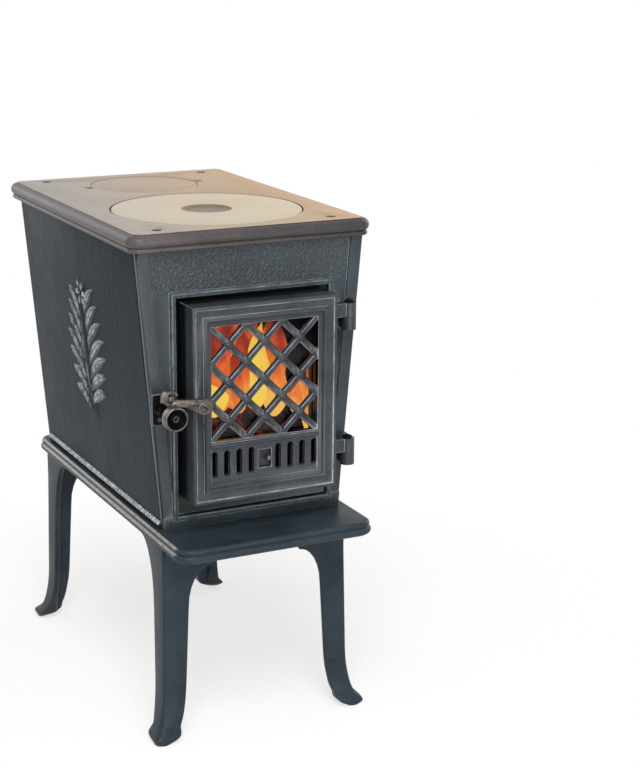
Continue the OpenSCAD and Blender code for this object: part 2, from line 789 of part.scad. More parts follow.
module at_clips() {
    pair() for (z = clip_z) translate([clip_x, y_glaze, z]) rotate([-90, 0, 0]) children();
}

module door() {
    half = door_w / 2;
    pane = 3 * lattice / 2;
    shell = 6;
    color("#444f54") difference() {
        union() {
            difference() {
                block([-half, y_plate, z_door], [half, y_rim, z_door + door_h]);
                block([shell - half, y_glaze, z_door + shell],
                      [half - shell, y_rim - 8, z_door + door_h - shell]);
                block([-mouth_w, y_glaze, z_door + door_edge],
                      [mouth_w, y_rim + 1, z_door + door_h - door_edge]);
                block([-pane, y_plate - 1, window_foot], [pane, y_glaze + 1, window_top]);
                block([-pane, y_plate - 1, z_door + frame_w - 2], [pane, y_lattice + 0.6, window_foot - 5]);
                slab_y(y_plate - 1, y_glaze + 1) {
                    slots();
                    translate([0, slot_z]) square(knob_window, center = true);
                }
            }
            translate([0, y_plate, door_mid]) mitred_frame(door_w, door_h, frame_w - 0.6, frame_up + 4)
                door_moulding();
            lattice_bars();
            translate([-pane - 1, y_lattice, window_foot - 6]) rotate([0, 90, 0])
                cylinder(h = 2 * pane + 2, r = 3);
            rod_y(latch_x, latch_z, y_boss, y_glaze, latch_boss_r);
            at_clips() translate([0, 0, -1]) cylinder(h = tape_t + glass_t + 1, r = 4.2);
            for (z = [hinge_low, hinge_high]) door_arm(z + hinge_lug);
        }
        difference() {
            block([3 - half, y_rim - 4, z_door + 3], [half - 3, y_rim + 1, z_door + door_h - 3]);
            block([3 + groove - half, y_rim - 5, z_door + 3 + groove],
                  [half - 3 - groove, y_rim + 2, z_door + door_h - 3 - groove]);
        }
        rod_y(latch_x, latch_z, y_boss - 1, y_glaze + 1, pivot_r + 0.02);
        at_clips() translate([0, 0, -3]) cylinder(h = 12, r = clip_r + 0.02);
        for (z = [hinge_low, hinge_high]) translate([hinge_x, hinge_y, z])
            cylinder(h = 3 * hinge_lug, r = pin_r + c_run);
    }
}

// Rope seal in the groove of the door's rim
module door_gasket() {
    w = groove - 0.4;
    deep = y_seat - c_seat - (y_rim - 4);
    color("#9a958b") translate([0, y_rim - 4, door_mid]) rotate([180, 0, 0])
        mitred_frame(door_w - 6.4, door_h - 6.4, w, deep) {
            square_at(0, 0, w, deep - 2.5);
            square_at(2.5, 0, w - 2.5, deep);
            for (x = [2.5, w - 2.5]) translate([x, deep - 2.5]) circle(2.5);
        }
}

module window_gasket() {
    color("#9a958b") difference() {
        block([-glass_w, y_glaze, glass_z0], [glass_w, y_glass, glass_z1]);
        block([-glass_w + 5, y_glaze - 1, glass_z0 + 5], [glass_w - 5, y_glass + 1, glass_z1 - 5]);
    }
}

module door_glass() {
    color("#aeb9b6", 0.4) block([-glass_w, y_glass, glass_z0], [glass_w, y_glass + glass_t, glass_z1]);
}

module glass_clips() {
    color("#8b8d8c") at_clips() translate([0, 0, tape_t + glass_t]) difference() {
        block([-11, -6, 0], [5, 6, 1.5]);
        translate([0, 0, -1]) cylinder(h = 4, r = clip_r + c_bolt);
    }
}

module glass_clip_screws() {
    color("#6a6d6e") at_clips() translate([0, 0, tape_t + glass_t + 1.5]) {
        cylinder(h = 2.2, r = 3.6);
        translate([0, 0, -9]) cylinder(h = 9, r = clip_r);
    }
}

// Two angle rails that carry the air slide behind the slots
guide_len = 84;

module guide(side) {
    z_in = slot_z + side * (guide_z + slide_gap);
    z_out = z_in + side * guide_web;
    z_lip = z_in - side * 2.4;
    back = y_glaze + slide_t + 2 * slide_gap;
    block([-guide_len, y_glaze, min(z_in, z_out)], [guide_len, back + e, max(z_in, z_out)]);
    block([-guide_len, back, min(z_lip, z_out)], [guide_len, back + 1.5, max(z_lip, z_out)]);
}

module at_rivets() {
    pair() for (side = [-1, 1])
        translate([guide_len - 6, y_glaze, slot_z + side * (guide_z + slide_gap + guide_web / 2)])
            rotate([-90, 0, 0]) children();
}

module slide_guides() {
    color("#5a5f61") difference() {
        for (side = [-1, 1]) guide(side);
        at_rivets() translate([0, 0, -1]) cylinder(h = 10, r = 1.22);
    }
}

module guide_rivets() {
    color("#8b8d8c") at_rivets() {
        cylinder(h = slide_t + 2 * slide_gap + 1.5, r = 1.2);
        translate([0, 0, slide_t + 2 * slide_gap + 1.5]) cylinder(h = 1, r1 = 1.8, r2 = 1.2);
    }
}

module air_slide() {
    half = guide_len - slide_travel / 2 - 1;
    y0 = y_glaze + slide_gap;
    color("#3a3f41") translate([slide_travel / 2, 0, 0]) difference() {
        slab_y(y0, y0 + slide_t) square_at(-half, slot_z - guide_z, half, slot_z + guide_z);
        slab_y(y0 - 1, y0 + slide_t + 1) translate([-slide_travel / 2, 0]) slots();
        rod_y(0, slot_z, y0 - 1, y0 + slide_t + 1, 2.02);
    }
}

module air_slide_knob() {
    y0 = y_glaze + slide_gap;
    color("#9b958a") translate([slide_travel / 2, 0, 0]) {
        rod_y(0, slot_z, y0, y0 + slide_t + 1, 2);
        rod_y(0, slot_z, y0 - 9, y0, 2.4);
        rod_y(0, slot_z, y0 - 11, y0 - 8, 3.2, 3.8);
        rod_y(0, slot_z, y0 - 8, y0 - 5, 3.8, 3);
    }
}

// ---- Hinge pins ----

module hinge_pin(z) {
    top = z + 2 * hinge_lug;
    color("#55595a") translate([hinge_x, hinge_y, 0]) {
        translate([0, 0, z + pin_floor]) cylinder(h = top + c_seat - z - pin_floor, r = pin_r);
        translate([0, 0, top + c_seat]) cylinder(h = 2, r = pin_r + 1.8);
        translate([0, 0, top + c_seat + 2]) cylinder(h = 1.6, r1 = pin_r + 1.8, r2 = pin_r - 1);
    }
}

module hinge_pin_upper() {
    hinge_pin(hinge_high);
}

module hinge_pin_lower() {
    hinge_pin(hinge_low);
}

// ---- Latch ----

washer_t = 1;
lever_t = 8;
y_lever = y_boss - washer_t - lever_t;       // face of the lever
nose = 37.5;                                 // pivot to the middle of the nose
nose_w = 8;
nose_tip = 9;                                // how far the tooth hangs below the lever's axis at rest
lip_t = 4;                                   // thickness of the keeper's lip
tooth_t = 5;
y_lip = y_panel - keeper_pad - 24;           // face of the keeper's lip
y_tooth = y_lip + lip_t + 1;                 // face of the tooth, behind the lip
eye_r = 9.5;
arm_h = 11;
knob_at = [-37.7, -14.5];                     // middle of the knob, from the pivot

// The lever's own frame: pivot at the origin, arm along -X, turned up by the rest tilt
module at_latch() {
    translate([latch_x, 0, latch_z]) rotate([0, latch_tilt, 0]) children();
}

module latch_lever() {
    curl = [-44, 7.4];
    color("#6f6a63") at_latch() difference() {
        union() {
            slab_y(y_lever, y_lever + lever_t) {
                circle(eye_r);
                polygon([[0, eye_r - 0.7], [-nose - 3, arm_h / 2], [-nose - 3, -0.5], [-22, -2.5],
                         [0, 0.7 - eye_r]]);
                translate(knob_at) circle(7.5);
                polygon([[-29, 0], [-41, 2], [knob_at[0] - 6, knob_at[1]], [knob_at[0] + 6, knob_at[1]]]);
                translate(curl) difference() {
                    circle(9.5);
                    translate([0.6, 0.6]) circle(6.4);
                    square_at(4, -1, 12, 4);
                }
                translate(curl + [1.2, -1.4]) circle(3.7);
            }
            block([-nose - nose_w / 2, y_lever + lever_t - 1, 0],
                  [-nose + nose_w / 2, y_tooth + tooth_t, arm_h / 2 - 0.6]);
            block([-nose - nose_w / 2, y_tooth, -nose_tip + 3], [-nose + nose_w / 2, y_tooth + tooth_t, 1]);
        }
        rod_y(0, 0, y_lever - 1, y_lever + lever_t + 1, pivot_r + c_run);
        rod_y(knob_at[0], knob_at[1], y_lever - 1, y_lever + lever_t + 1, 3.52);
    }
}

// Turned knob: a dished ring round a boss, hung under the end of the arm
module latch_knob() {
    boss = 6;
    deep = 12;
    color("#7a736a") at_latch() translate([knob_at[0], y_lever, knob_at[1]]) rotate([90, 0, 0]) {
        rotate_extrude() difference() {
            union() {
                square_at(0, 0, knob_r - 2, deep);
                square_at(0, 2, knob_r, deep - 2);
                translate([knob_r - 2, 2]) circle(2);
                translate([knob_r - 2, deep - 2]) circle(2);
            }
            square_at(boss, 4, knob_r - 2.6, deep + 1);
            square_at(-e, deep - 2.5, boss + e, deep + 1);
            square_at(-e, 5, 1.8, deep + 1);
            translate([-30, -5]) square([30, 30]);
        }
        translate([0, 0, -lever_t]) cylinder(h = lever_t + 1, r = 3.5);
    }
}

module latch_pivot_screw() {
    head = 3.4;
    color("#8a857c") translate([latch_x, y_lever, latch_z]) rotate([90, 0, 0]) difference() {
        union() {
            translate([0, 0, c_seat]) cylinder(h = 1.2, r = 7.6);
            translate([0, 0, c_seat]) cylinder(h = head - 0.8, r = 4.8);
            translate([0, 0, c_seat + head - 0.8]) cylinder(h = 0.8, r1 = 4.8, r2 = 3.9);
            translate([0, 0, -(y_glaze - y_lever)]) cylinder(h = y_glaze - y_lever + 1, r = pivot_r);
        }
        rotate(-40) translate([-8, -0.8, c_seat + head - 1.2]) cube([16, 1.6, 3]);
    }
}

module latch_washer() {
    color("#8a857c") difference() {
        rod_y(latch_x, latch_z, y_lever + lever_t, y_boss, 7);
        rod_y(latch_x, latch_z, y_lever, y_boss + 1, pivot_r + 0.05);
    }
}

// Hooked catch for the nose: a screwed foot, a shelf and a lip that stands up in front of the tooth
keeper_lip = 27;                             // top of the lip above the foot of the plate
keeper_shelf = 20;

module latch_keeper() {
    y0 = y_panel - keeper_pad;
    half = keeper_w / 2;
    foot = keeper_z + keeper_shelf - 4;
    color("#5f6260") difference() {
        union() {
            slab_y(y0 - 3, y0) translate([keeper_x, keeper_z]) {
                square_at(-half, 3, half, keeper_h - 3);
                square_at(3 - half, 0, half - 3, keeper_h);
                for (x = [3 - half, half - 3]) for (z = [3, keeper_h - 3]) translate([x, z]) circle(3);
            }
            block([keeper_x - half, y_lip, foot], [keeper_x + half, y0, foot + 4]);
            block([keeper_x - half, y_lip, foot],
                  [keeper_x + half, y_lip + lip_t, keeper_z + keeper_lip - 1]);
            translate([keeper_x - half, y_lip + lip_t / 2, keeper_z + keeper_lip - lip_t / 2])
                rotate([0, 90, 0]) cylinder(h = keeper_w, r = lip_t / 2);
        }
        rod_y(keeper_x, keeper_z + 7, y0 - 4, y0 + 1, 2.5 + c_bolt);
    }
}

module keeper_screw() {
    y0 = y_panel - keeper_pad - 3;
    color("#8a857c") {
        rod_y(keeper_x, keeper_z + 7, y0, y_in, 2.5);
        rod_y(keeper_x, keeper_z + 7, y0 - 2.4, y0, 3.4, 4.4);
    }
}

base_plate();
leg(0);  // leg_front_left
leg(1);  // leg_front_right
leg(2);  // leg_rear_left
leg(3);  // leg_rear_right
leg_bolts();
side_plate_left();
side_plate_right();
front_plate();
rear_plate();
top_plate();
top_screws();
base_screws();
cooking_lid();
outlet_cover();
outlet_cover_screws();
flue_collar();
collar_bolts();
fire_bottom();
burn_plate_left();
burn_plate_right();
burn_plate_rear();
baffle_plate();
log_retainer();
firewood();
door();
door_gasket();
window_gasket();
door_glass();
glass_clips();
glass_clip_screws();
slide_guides();
guide_rivets();
air_slide();
air_slide_knob();
hinge_pin_upper();
hinge_pin_lower();
latch_lever();
latch_knob();
latch_pivot_screw();
latch_washer();
latch_keeper();
keeper_screw();
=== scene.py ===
"""Looks for the cast-iron box stove: enamelled castings, a lattice door with a fire behind it."""

import json
import math
import random

import bmesh
import bpy
from mathutils import Matrix, Vector


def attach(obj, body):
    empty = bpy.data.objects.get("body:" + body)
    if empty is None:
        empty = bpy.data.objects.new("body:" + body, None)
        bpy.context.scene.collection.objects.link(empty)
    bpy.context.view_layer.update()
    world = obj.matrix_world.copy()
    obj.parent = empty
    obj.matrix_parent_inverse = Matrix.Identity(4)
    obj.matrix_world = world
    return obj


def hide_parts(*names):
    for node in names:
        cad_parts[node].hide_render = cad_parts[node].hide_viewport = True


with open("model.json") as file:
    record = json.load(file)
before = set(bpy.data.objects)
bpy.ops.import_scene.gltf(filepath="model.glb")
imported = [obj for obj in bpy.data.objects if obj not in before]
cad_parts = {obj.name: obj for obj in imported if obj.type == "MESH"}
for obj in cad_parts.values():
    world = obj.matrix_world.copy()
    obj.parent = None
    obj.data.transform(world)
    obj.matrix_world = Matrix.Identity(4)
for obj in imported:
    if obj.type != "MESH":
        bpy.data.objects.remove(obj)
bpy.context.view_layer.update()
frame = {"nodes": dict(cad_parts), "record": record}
scene = bpy.context.scene
nodes = frame["nodes"]
body_of = {node: body for body, members in frame["record"]["behaviour"]["bodies"].items()
           for node in members}
slots = {part["node"]: part["material_slot"] for part in frame["record"]["subparts"]}

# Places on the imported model, in metres
TOP = 0.640                                  # top of the stove
BODY_FOOT = 0.272                            # foot of the side plates
SIDE_FOOT = 0.120                            # half the width over the side plates at their foot
SIDE_LEAN = 0.030 / 0.346                    # how far they lean out for each metre of height
SIDE_SKIN = SIDE_FOOT - SIDE_LEAN * BODY_FOOT
BAND_FOOT, BAND_HALF = 0.562, 0.130          # sand-cast band above the door
SEAT_HALF = 0.104                            # half the width of the door's seat
WINDOW_HALF = 0.0715                         # half the width of the lattice
WINDOW_FOOT, WINDOW_HEAD = 0.3875, 0.531     # foot and head of the lattice
LATTICE_BACK = -0.2175                       # the lattice bars lie in front of this depth
FIRE_FOOT = 0.352                            # charcoal glows above this height
LID_Y, RECESS_R = -0.050, 0.034              # middle of the lid, and radius of its recess
KNOB_X, KNOB_Z = -0.1266, 0.4311             # axis of the latch knob
KNOB_FRONT = min(v.co.y for v in nodes["latch_knob"].data.vertices)
HOLLOW_R, HOLLOW_RIM = 0.0126, 0.0015        # hollow of the knob, and how far in it begins
FADE = 0.004                                 # width over which one finish turns to another


# ---------------------------------------------------------------- colours and nodes

def rgb(code):
    """A linear colour from an sRGB hex code."""
    parts = [int(code[i:i + 2], 16) / 255 for i in (1, 3, 5)]
    return [c / 12.92 if c <= 0.04045 else ((c + 0.055) / 1.055) ** 2.4 for c in parts] + [1.0]


def add(tree, kind, inputs=None, stops=None, **settings):
    """A shader node. Sockets among its inputs are linked and other values are set."""
    made = tree.nodes.new("ShaderNode" + kind)
    for name, value in settings.items():
        setattr(made, name, value)
    if stops:
        ramp = made.color_ramp.elements
        while len(ramp) < len(stops):
            ramp.new(0.5)
        for element, (place, colour) in zip(ramp, stops):
            element.position = place
            element.color = rgb(colour)
    for name, value in (inputs or {}).items():
        if isinstance(value, bpy.types.NodeSocket):
            tree.links.new(value, made.inputs[name])
        else:
            made.inputs[name].default_value = value
    return made


def material(name):
    """An empty material with its output, and the object's own coordinates in metres."""
    made = bpy.data.materials.new(name)
    made.use_nodes = True
    tree = made.node_tree
    tree.nodes.clear()
    out = add(tree, "OutputMaterial")
    place = add(tree, "TexCoord").outputs["Object"]
    return made, tree, out, place


def per_mm(size):
    """The texture scale whose features are about size millimetres wide."""
    return 1000 / size


# ---------------------------------------------------------------- enamel and iron

def painted_light_across(tree, where, colour, tone):
    """Painted light: the colour turned towards a tone from left to right across the stove, a warm
    reflection on the top and lid and shade on the top's edge.
    """
    across = add(tree, "MapRange", {"Value": where.outputs["X"], "From Min": -0.12,
                                    "From Max": 0.15, "To Min": 0.0, "To Max": 0.8})
    return add(tree, "Mix", {"Factor": across.outputs["Result"], "A": colour, "B": rgb(tone)},
               data_type="RGBA").outputs["Result"]


def specks(tree, fine, colour, tone):
    """The colour with specks of a tone on the peaks of the fine grain."""
    spots = add(tree, "ValToRGB", {"Fac": fine.outputs["Fac"]},
                stops=[(0.55, "#000000"), (0.78, "#ffffff")])
    return add(tree, "Mix", {"Factor": spots.outputs["Color"], "A": colour, "B": rgb(tone)},
               data_type="RGBA").outputs["Result"]


def streaks(tree, place, colour, depth):
    """The colour darkened in upright lines about 5 mm apart."""
    lines = add(tree, "Mapping", {"Vector": place, "Scale": (1, 1, 0.04)})
    upright = add(tree, "TexNoise", {"Vector": lines.outputs["Vector"], "Scale": per_mm(5),
                                     "Detail": 4.0})
    much = add(tree, "MapRange", {"Value": upright.outputs["Fac"], "From Min": 0.4,
                                  "From Max": 0.7, "To Min": 0.0, "To Max": depth})
    return add(tree, "Mix", {"Factor": much.outputs["Result"], "A": colour,
                             "B": rgb("#1b2329")}, data_type="RGBA").outputs["Result"]


def rubbed_and_highlit_crests(tree, where, patches, colour, tone):
    """The colour rubbed to a tone, in patches, on what stands 2 to 4 mm off a side plate: wear and a
    painted highlight.
    """
    away = add(tree, "Math", {0: where.outputs["X"]}, operation="ABSOLUTE")
    upright = add(tree, "Math", {0: where.outputs["Z"], 1: -SIDE_LEAN, 2: away.outputs["Value"]},
                  operation="MULTIPLY_ADD")
    high = add(tree, "MapRange", {"Value": upright.outputs["Value"],
                                  "From Min": SIDE_SKIN + 0.0021, "From Max": SIDE_SKIN + 0.0038})
    rubs = add(tree, "MapRange", {"Value": patches.outputs["Fac"], "From Min": 0.4,
                                  "From Max": 0.56, "To Max": high.outputs["Result"]})
    return add(tree, "Mix", {"Factor": rubs.outputs["Result"], "A": colour, "B": rgb(tone)},
               data_type="RGBA").outputs["Result"]


def painted_shade_in_seat(tree, where, colour, depth):
    """Painted shade: the colour blackened behind a depth, on the door and within its seat."""
    deep = add(tree, "MapRange", {"Value": where.outputs["Y"], "From Min": depth - FADE,
                                  "From Max": depth})
    away = add(tree, "Math", {0: where.outputs["X"]}, operation="ABSOLUTE")
    within = add(tree, "MapRange", {"Value": away.outputs["Value"], "From Min": SEAT_HALF + FADE,
                                    "From Max": SEAT_HALF, "To Max": deep.outputs["Result"]})
    return add(tree, "Mix", {"Factor": within.outputs["Result"], "A": colour,
                             "B": rgb("#060707")}, data_type="RGBA").outputs["Result"]


def sand_cast_band(tree, place, where, colour, normal):
    """The colour and normal with the pebbled skin of a sand mould on the band over the door."""
    sand = add(tree, "TexNoise", {"Vector": place, "Scale": per_mm(3.2), "Detail": 2.0})
    high = add(tree, "MapRange", {"Value": where.outputs["Z"], "From Min": BAND_FOOT,
                                  "From Max": BAND_FOOT + FADE})
    away = add(tree, "Math", {0: where.outputs["X"]}, operation="ABSOLUTE")
    there = add(tree, "MapRange", {"Value": away.outputs["Value"], "From Min": BAND_HALF + FADE,
                                   "From Max": BAND_HALF, "To Max": high.outputs["Result"]})
    pebbles = add(tree, "Bump", {"Height": sand.outputs["Fac"], "Distance": 0.0016,
                                 "Strength": there.outputs["Result"], "Normal": normal})
    tops = add(tree, "ValToRGB", {"Fac": sand.outputs["Fac"]},
               stops=[(0.52, "#000000"), (0.75, "#c8c8c8")])
    bright = add(tree, "Math", {0: tops.outputs["Color"], 1: there.outputs["Result"]},
                 operation="MULTIPLY")
    mixed = add(tree, "Mix", {"Factor": bright.outputs["Value"], "A": colour,
                              "B": rgb("#5c666b")}, data_type="RGBA")
    return mixed.outputs["Result"], pebbles.outputs["Normal"]


def surface(name, light, dark, rough=(0.35, 0.5), patch=60, grain=1.2, grain_depth=0.06,
            squash=(1, 1, 1), metallic=0.0, spec=0.5, speck=None, side=None, streak=0.0,
            crest=None, painted_shade_behind=None, sand_cast=False):
    """A solid finish: two tones in patches, fine grain and slow unevenness, in millimetres.

    The last six add specks, painted light turning towards a tone from left to right, upright
    streaks, rubbed crests with a painted highlight, painted shade behind a depth in metres, and
    the sand-cast band over the door.
    """
    made, tree, out, place = material(name)
    where = add(tree, "SeparateXYZ", {"Vector": place})
    patches = add(tree, "TexNoise", {"Vector": place, "Scale": per_mm(patch), "Detail": 5.0,
                                     "Roughness": 0.6})
    stretched = add(tree, "Mapping", {"Vector": place, "Scale": squash})
    fine = add(tree, "TexNoise", {"Vector": stretched.outputs["Vector"], "Scale": per_mm(grain),
                                  "Detail": 3.0})
    slow = add(tree, "TexNoise", {"Vector": place, "Scale": per_mm(22), "Detail": 2.0})
    colour = add(tree, "ValToRGB", {"Fac": patches.outputs["Fac"]},
                 stops=[(0.32, dark), (0.68, light)]).outputs["Color"]
    # The tone across is painted light, the crest tone is wear with a painted highlight, and the tone
    # behind a depth is painted shade
    if side:
        colour = painted_light_across(tree, where, colour, side)
    if speck:
        colour = specks(tree, fine, colour, speck)
    if streak:
        colour = streaks(tree, place, colour, streak)
    if crest:
        colour = rubbed_and_highlit_crests(tree, where, patches, colour, crest)
    if painted_shade_behind:
        colour = painted_shade_in_seat(tree, where, colour, painted_shade_behind)
    shine = add(tree, "MapRange", {"Value": patches.outputs["Fac"], "From Min": 0.3, "From Max": 0.7,
                                   "To Min": rough[0], "To Max": rough[1]})
    waves = add(tree, "Bump", {"Height": slow.outputs["Fac"], "Distance": 0.00025})
    normal = add(tree, "Bump", {"Height": fine.outputs["Fac"], "Distance": grain_depth / 1000,
                                "Normal": waves.outputs["Normal"]}).outputs["Normal"]
    if sand_cast:
        colour, normal = sand_cast_band(tree, place, where, colour, normal)
    shader = add(tree, "BsdfPrincipled", {
        "Base Color": colour, "Roughness": shine.outputs["Result"], "Metallic": metallic,
        "Specular IOR Level": spec, "Normal": normal})
    tree.links.new(shader.outputs["BSDF"], out.inputs["Surface"])
    return made


# Blue-black vitreous enamel fired on grey cast iron: a soft gloss over faint specks
enamel = surface("blue_black_enamel_on_cast_iron", "#2e3a42", "#222b31", rough=(0.34, 0.48),
                 spec=0.16, speck="#3f4b52")
# The same enamel on the front plate, pebbled by the mould above the door, with painted shade within
# the door's seat
front_enamel = surface("blue_black_enamel_sand_cast", "#2d373d", "#20282d", rough=(0.32, 0.46),
                       spec=0.4, speck="#3f4a50", painted_shade_behind=-0.1825, sand_cast=True)
# The same enamel on the door, a little greyer from heat, with painted shade at its back
door_enamel = surface("blue_black_enamel_heat_greyed", "#353b40", "#252a2f", rough=(0.28, 0.4),
                      patch=30, spec=0.4, speck="#474f54", painted_shade_behind=-0.203)
# The same enamel on the side plates, whose grain runs upright
enamel_side = surface("blue_black_enamel_upright_grain", "#28343c", "#1d272e", rough=(0.45, 0.6),
                      grain=2.2, grain_depth=0.6, squash=(1, 1, 0.05), spec=0.1, streak=0.8)
# Enamel worn pale on the high edges of a casting, and painted paler still as an edge highlight
enamel_worn_and_highlit = surface("blue_black_enamel_worn_and_highlit_edges", "#667075", "#39434a", rough=(0.24, 0.38),
                      patch=14)
# Painted highlight on the door's rounded edges and on the lower-left sides of its lattice bars
door_painted_highlight = surface("blue_black_enamel_painted_highlight", "#a3a4ad", "#565c64", rough=(0.22, 0.34),
                    patch=20)
# Enamel of the cast relief, rubbed and painted with a highlight on its crests
enamel_rubbed_and_highlit = surface("blue_black_enamel_rubbed_and_highlit_relief", "#2e3a42", "#222b31", patch=9,
                        rough=(0.24, 0.4), spec=0.3, crest="#c9cdcd")
# Rope moulding of bare iron, rubbed and painted near-white as a highlight in places
rubbed_iron_and_highlight = surface("rubbed_cast_iron_painted_highlight", "#d4d6d6", "#6d7478", patch=5, rough=(0.2, 0.34))
# Painted highlight on the crests of the base's moulded edge
base_crest_highlight = surface("enamel_painted_crest_highlight", "#98928a", "#45474a", patch=5, rough=(0.26, 0.4))
# Warm grey enamel of the top plate, with a painted golden reflection towards the right
top_enamel = surface("warm_grey_enamel_on_cast_iron", "#a59c91", "#8a8178", rough=(0.34, 0.48),
                     patch=20, grain=2.4, spec=0.4, speck="#746b63", side="#c09a68")
# Grey-mauve enamel of the top plate's moulded edge, with painted shade towards the right
edge_enamel = surface("grey_mauve_enamel_on_cast_iron", "#5b5352", "#413c3c", rough=(0.34, 0.46),
                      spec=0.3, speck="#6a6361", side="#26282a")
# Pale enamel of the cooking lid, with a painted golden highlight towards the right
lid_enamel = surface("pale_enamel_on_cast_iron", "#b8ab92", "#a99c84", rough=(0.26, 0.38),
                     patch=80, speck="#cfc4ab", side="#c4b284")
# Brown, heat-stained iron in the recess of the lid
stained = surface("heat_stained_cast_iron", "#857765", "#6f6152", rough=(0.45, 0.6))
# Forged and turned iron of the latch, browned with age
latch_iron = surface("browned_forged_iron", "#6f6862", "#3a3532", rough=(0.22, 0.38), patch=9,
                     metallic=0.6)
# Soot and shadow baked into the hollow of the knob
black_iron = surface("blackened_forged_iron", "#141211", "#080707", rough=(0.6, 0.8), spec=0.06)
# Dulled steel screws and pins
steel = surface("dulled_zinc_plated_steel", "#4b4a48", "#353433", rough=(0.35, 0.5), patch=12,
                metallic=0.7)
# Sooted cast-iron linings
sooted = surface("sooted_cast_iron", "#100e0d", "#080707", rough=(0.8, 0.95), grain=1.4,
                 grain_depth=0.3, spec=0.05)
# Braided glass-fibre rope
rope = surface("glass_fibre_rope", "#a7a299", "#817c74", rough=(0.8, 0.95), grain=1.1,
               grain_depth=0.5)
# Rolled steel sheet
sheet = surface("rolled_steel_sheet", "#3b3f41", "#2b2f31", rough=(0.45, 0.6), metallic=0.6)


# ---------------------------------------------------------------- glass and fire

def glass_ceramic():
    """Clear glass ceramic, smoked towards its top right corner."""
    made, tree, out, place = material("clear_glass_ceramic")
    clear = add(tree, "BsdfTransparent", {"Color": rgb("#f4f2ee")})
    gloss = add(tree, "BsdfGlossy", {"Color": rgb("#ffffff"), "Roughness": 0.05})
    smoke = add(tree, "BsdfDiffuse", {"Color": rgb("#0c0b0b")})
    both = add(tree, "MixShader", {0: 0.012, 1: clear.outputs[0], 2: gloss.outputs[0]})
    where = add(tree, "SeparateXYZ", {"Vector": place})
    slant = add(tree, "Math", {0: where.outputs["X"], 1: 0.7, 2: where.outputs["Z"]},
                operation="MULTIPLY_ADD")
    soot = add(tree, "MapRange", {"Value": slant.outputs["Value"], "From Min": 0.52,
                                  "From Max": 0.555, "To Min": 0.0, "To Max": 0.9})
    done = add(tree, "MixShader", {0: soot.outputs["Result"], 1: both.outputs[0],
                                   2: smoke.outputs[0]})
    tree.links.new(done.outputs[0], out.inputs["Surface"])
    return made


def flame_glow(name, tones, base, reach):
    """Burning gas: hottest low down, redder above, in upright streaks that fade at the tips."""
    made, tree, out, place = material(name)
    where = add(tree, "SeparateXYZ", {"Vector": place})
    stretched = add(tree, "Mapping", {"Vector": place, "Scale": (1, 1, 0.3)})
    streak = add(tree, "TexNoise", {"Vector": stretched.outputs["Vector"], "Scale": per_mm(24),
                                    "Detail": 2.0, "Distortion": 0.6})
    height = add(tree, "MapRange", {"Value": where.outputs["Z"], "From Min": base,
                                    "From Max": base + reach, "To Min": 0.35, "To Max": -0.35})
    heat = add(tree, "Math", {0: height.outputs["Result"], 1: streak.outputs["Fac"]},
               operation="ADD")
    tone = add(tree, "ValToRGB", {"Fac": heat.outputs["Value"]},
               stops=list(zip((0.2, 0.38, 0.52, 0.66, 0.82), tones)))
    glow = add(tree, "Emission", {"Color": tone.outputs["Color"], "Strength": 1.05})
    thin = add(tree, "MapRange", {"Value": heat.outputs["Value"], "From Min": 0.08, "From Max": 0.3})
    clear = add(tree, "BsdfTransparent")
    done = add(tree, "MixShader", {0: thin.outputs["Result"], 1: clear.outputs[0],
                                   2: glow.outputs[0]})
    tree.links.new(done.outputs[0], out.inputs["Surface"])
    return made


def glowing(name, crust, crack, hot, size, power):
    """Charred wood or charcoal: a black crust with glowing cracks."""
    made, tree, out, place = material(name)
    rough = add(tree, "TexNoise", {"Vector": place, "Scale": per_mm(size * 0.6), "Detail": 4.0})
    bent = add(tree, "Mix", {"Factor": 0.03, "A": place, "B": rough.outputs["Color"]},
               data_type="VECTOR")
    cracks = add(tree, "TexVoronoi", {"Vector": bent.outputs["Result"], "Scale": per_mm(size)},
                 feature="DISTANCE_TO_EDGE")
    where = add(tree, "SeparateXYZ", {"Vector": place})
    lit = add(tree, "MapRange", {"Value": where.outputs["Z"], "From Min": FIRE_FOOT,
                                 "From Max": FIRE_FOOT + 0.033, "To Min": 0.0, "To Max": power})
    tone = add(tree, "ValToRGB", {"Fac": cracks.outputs["Distance"]},
               stops=[(0.0, hot), (0.09, crack), (0.25, "#000000")])
    skin = add(tree, "ValToRGB", {"Fac": rough.outputs["Fac"]},
               stops=[(0.35, "#0d0a0a"), (0.7, crust)])
    relief = add(tree, "Bump", {"Height": cracks.outputs["Distance"], "Distance": size / 15000})
    shader = add(tree, "BsdfPrincipled", {
        "Base Color": skin.outputs["Color"], "Roughness": 0.9, "Specular IOR Level": 0.1,
        "Emission Color": tone.outputs["Color"], "Emission Strength": lit.outputs["Result"],
        "Normal": relief.outputs["Normal"]})
    tree.links.new(shader.outputs["BSDF"], out.inputs["Surface"])
    return made


glass = glass_ceramic()
# Burning wood gas, from its yellow heart to its red tips
flames = [
    flame_glow("yellow_flame", ("#a02c12", "#e05a1e", "#f58c34", "#ffc848", "#ffdc5c"),
               base=0.43, reach=0.17),
    flame_glow("orange_flame", ("#6a1a10", "#a83018", "#e05820", "#f48838", "#ffc658"),
               base=0.375, reach=0.16),
    flame_glow("red_flame", ("#2a0a0a", "#5a1410", "#962a1a", "#c44824", "#f0802e"),
               base=0.44, reach=0.16),
]
# Charred wood with a dull red glow in its cracks
bark = glowing("charred_split_wood", "#241a1e", "#4a1018", "#8c2418", size=26, power=0.6)
# Glowing charcoal
ember = glowing("glowing_charcoal", "#2a1a1a", "#8c2418", "#f0702c", size=12, power=0.9)


# ---------------------------------------------------------------- castings and fittings

